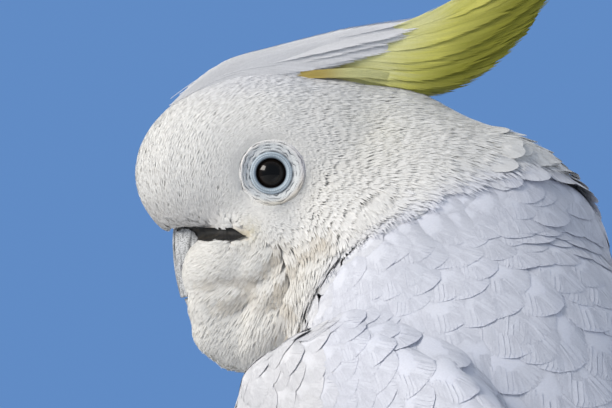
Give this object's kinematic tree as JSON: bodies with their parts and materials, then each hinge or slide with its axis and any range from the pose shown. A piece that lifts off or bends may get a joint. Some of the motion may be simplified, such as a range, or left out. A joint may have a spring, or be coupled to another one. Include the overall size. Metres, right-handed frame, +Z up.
{
  "type": "sulphur-crested cockatoo",
  "caption": "Life-size white cockatoo with a yellow crest, standing at rest with its head turned to its left and the crest folded.",
  "frame": {"origin": "on the floor, below the middle of the bird's bounding box", "axes": "+Z up, -Y the way the trunk faces, +X the bird's left; the head is turned 50 degrees towards +X"},
  "size_m": [0.1538, 0.3538, 0.286],
  "materials": {
    "white_plumage": "matte, soft feathers",
    "yellow_crest": "matte, soft feathers",
    "bill": "horn, dusty grey-black",
    "eye": "wet, glossy dark brown-black",
    "eye_skin": "bare wrinkled skin, matte",
    "leg_skin": "scaly, matte dark grey",
    "claw": "horn, satin black"
  },
  "bodies": {
    "root": {"claw_inner_front_left": "claw", "claw_inner_front_right": "claw", "claw_inner_rear_left": "claw", "claw_inner_rear_right": "claw", "claw_outer_front_left": "claw", "claw_outer_front_right": "claw", "claw_outer_rear_left": "claw", "claw_outer_rear_right": "claw", "crest_back": "yellow_crest", "crest_front": "white_plumage", "eye_left": "eye", "eye_right": "eye", "eye_ring_left": "eye_skin", "eye_ring_right": "eye_skin", "head": "white_plumage", "lower_bill": "bill", "neck": "white_plumage", "primaries_left": "white_plumage", "primaries_right": "white_plumage", "secondaries_left": "white_plumage", "secondaries_right": "white_plumage", "tail": "white_plumage", "tarsus_left": "leg_skin", "tarsus_right": "leg_skin", "thigh_left": "white_plumage", "thigh_right": "white_plumage", "toe_inner_front_left": "leg_skin", "toe_inner_front_right": "leg_skin", "toe_inner_rear_left": "leg_skin", "toe_inner_rear_right": "leg_skin", "toe_outer_front_left": "leg_skin", "toe_outer_front_right": "leg_skin", "toe_outer_rear_left": "leg_skin", "toe_outer_rear_right": "leg_skin", "trunk": "white_plumage", "upper_bill": "bill", "wing_left": "white_plumage", "wing_right": "white_plumage"}
  },
  "joints": []
}
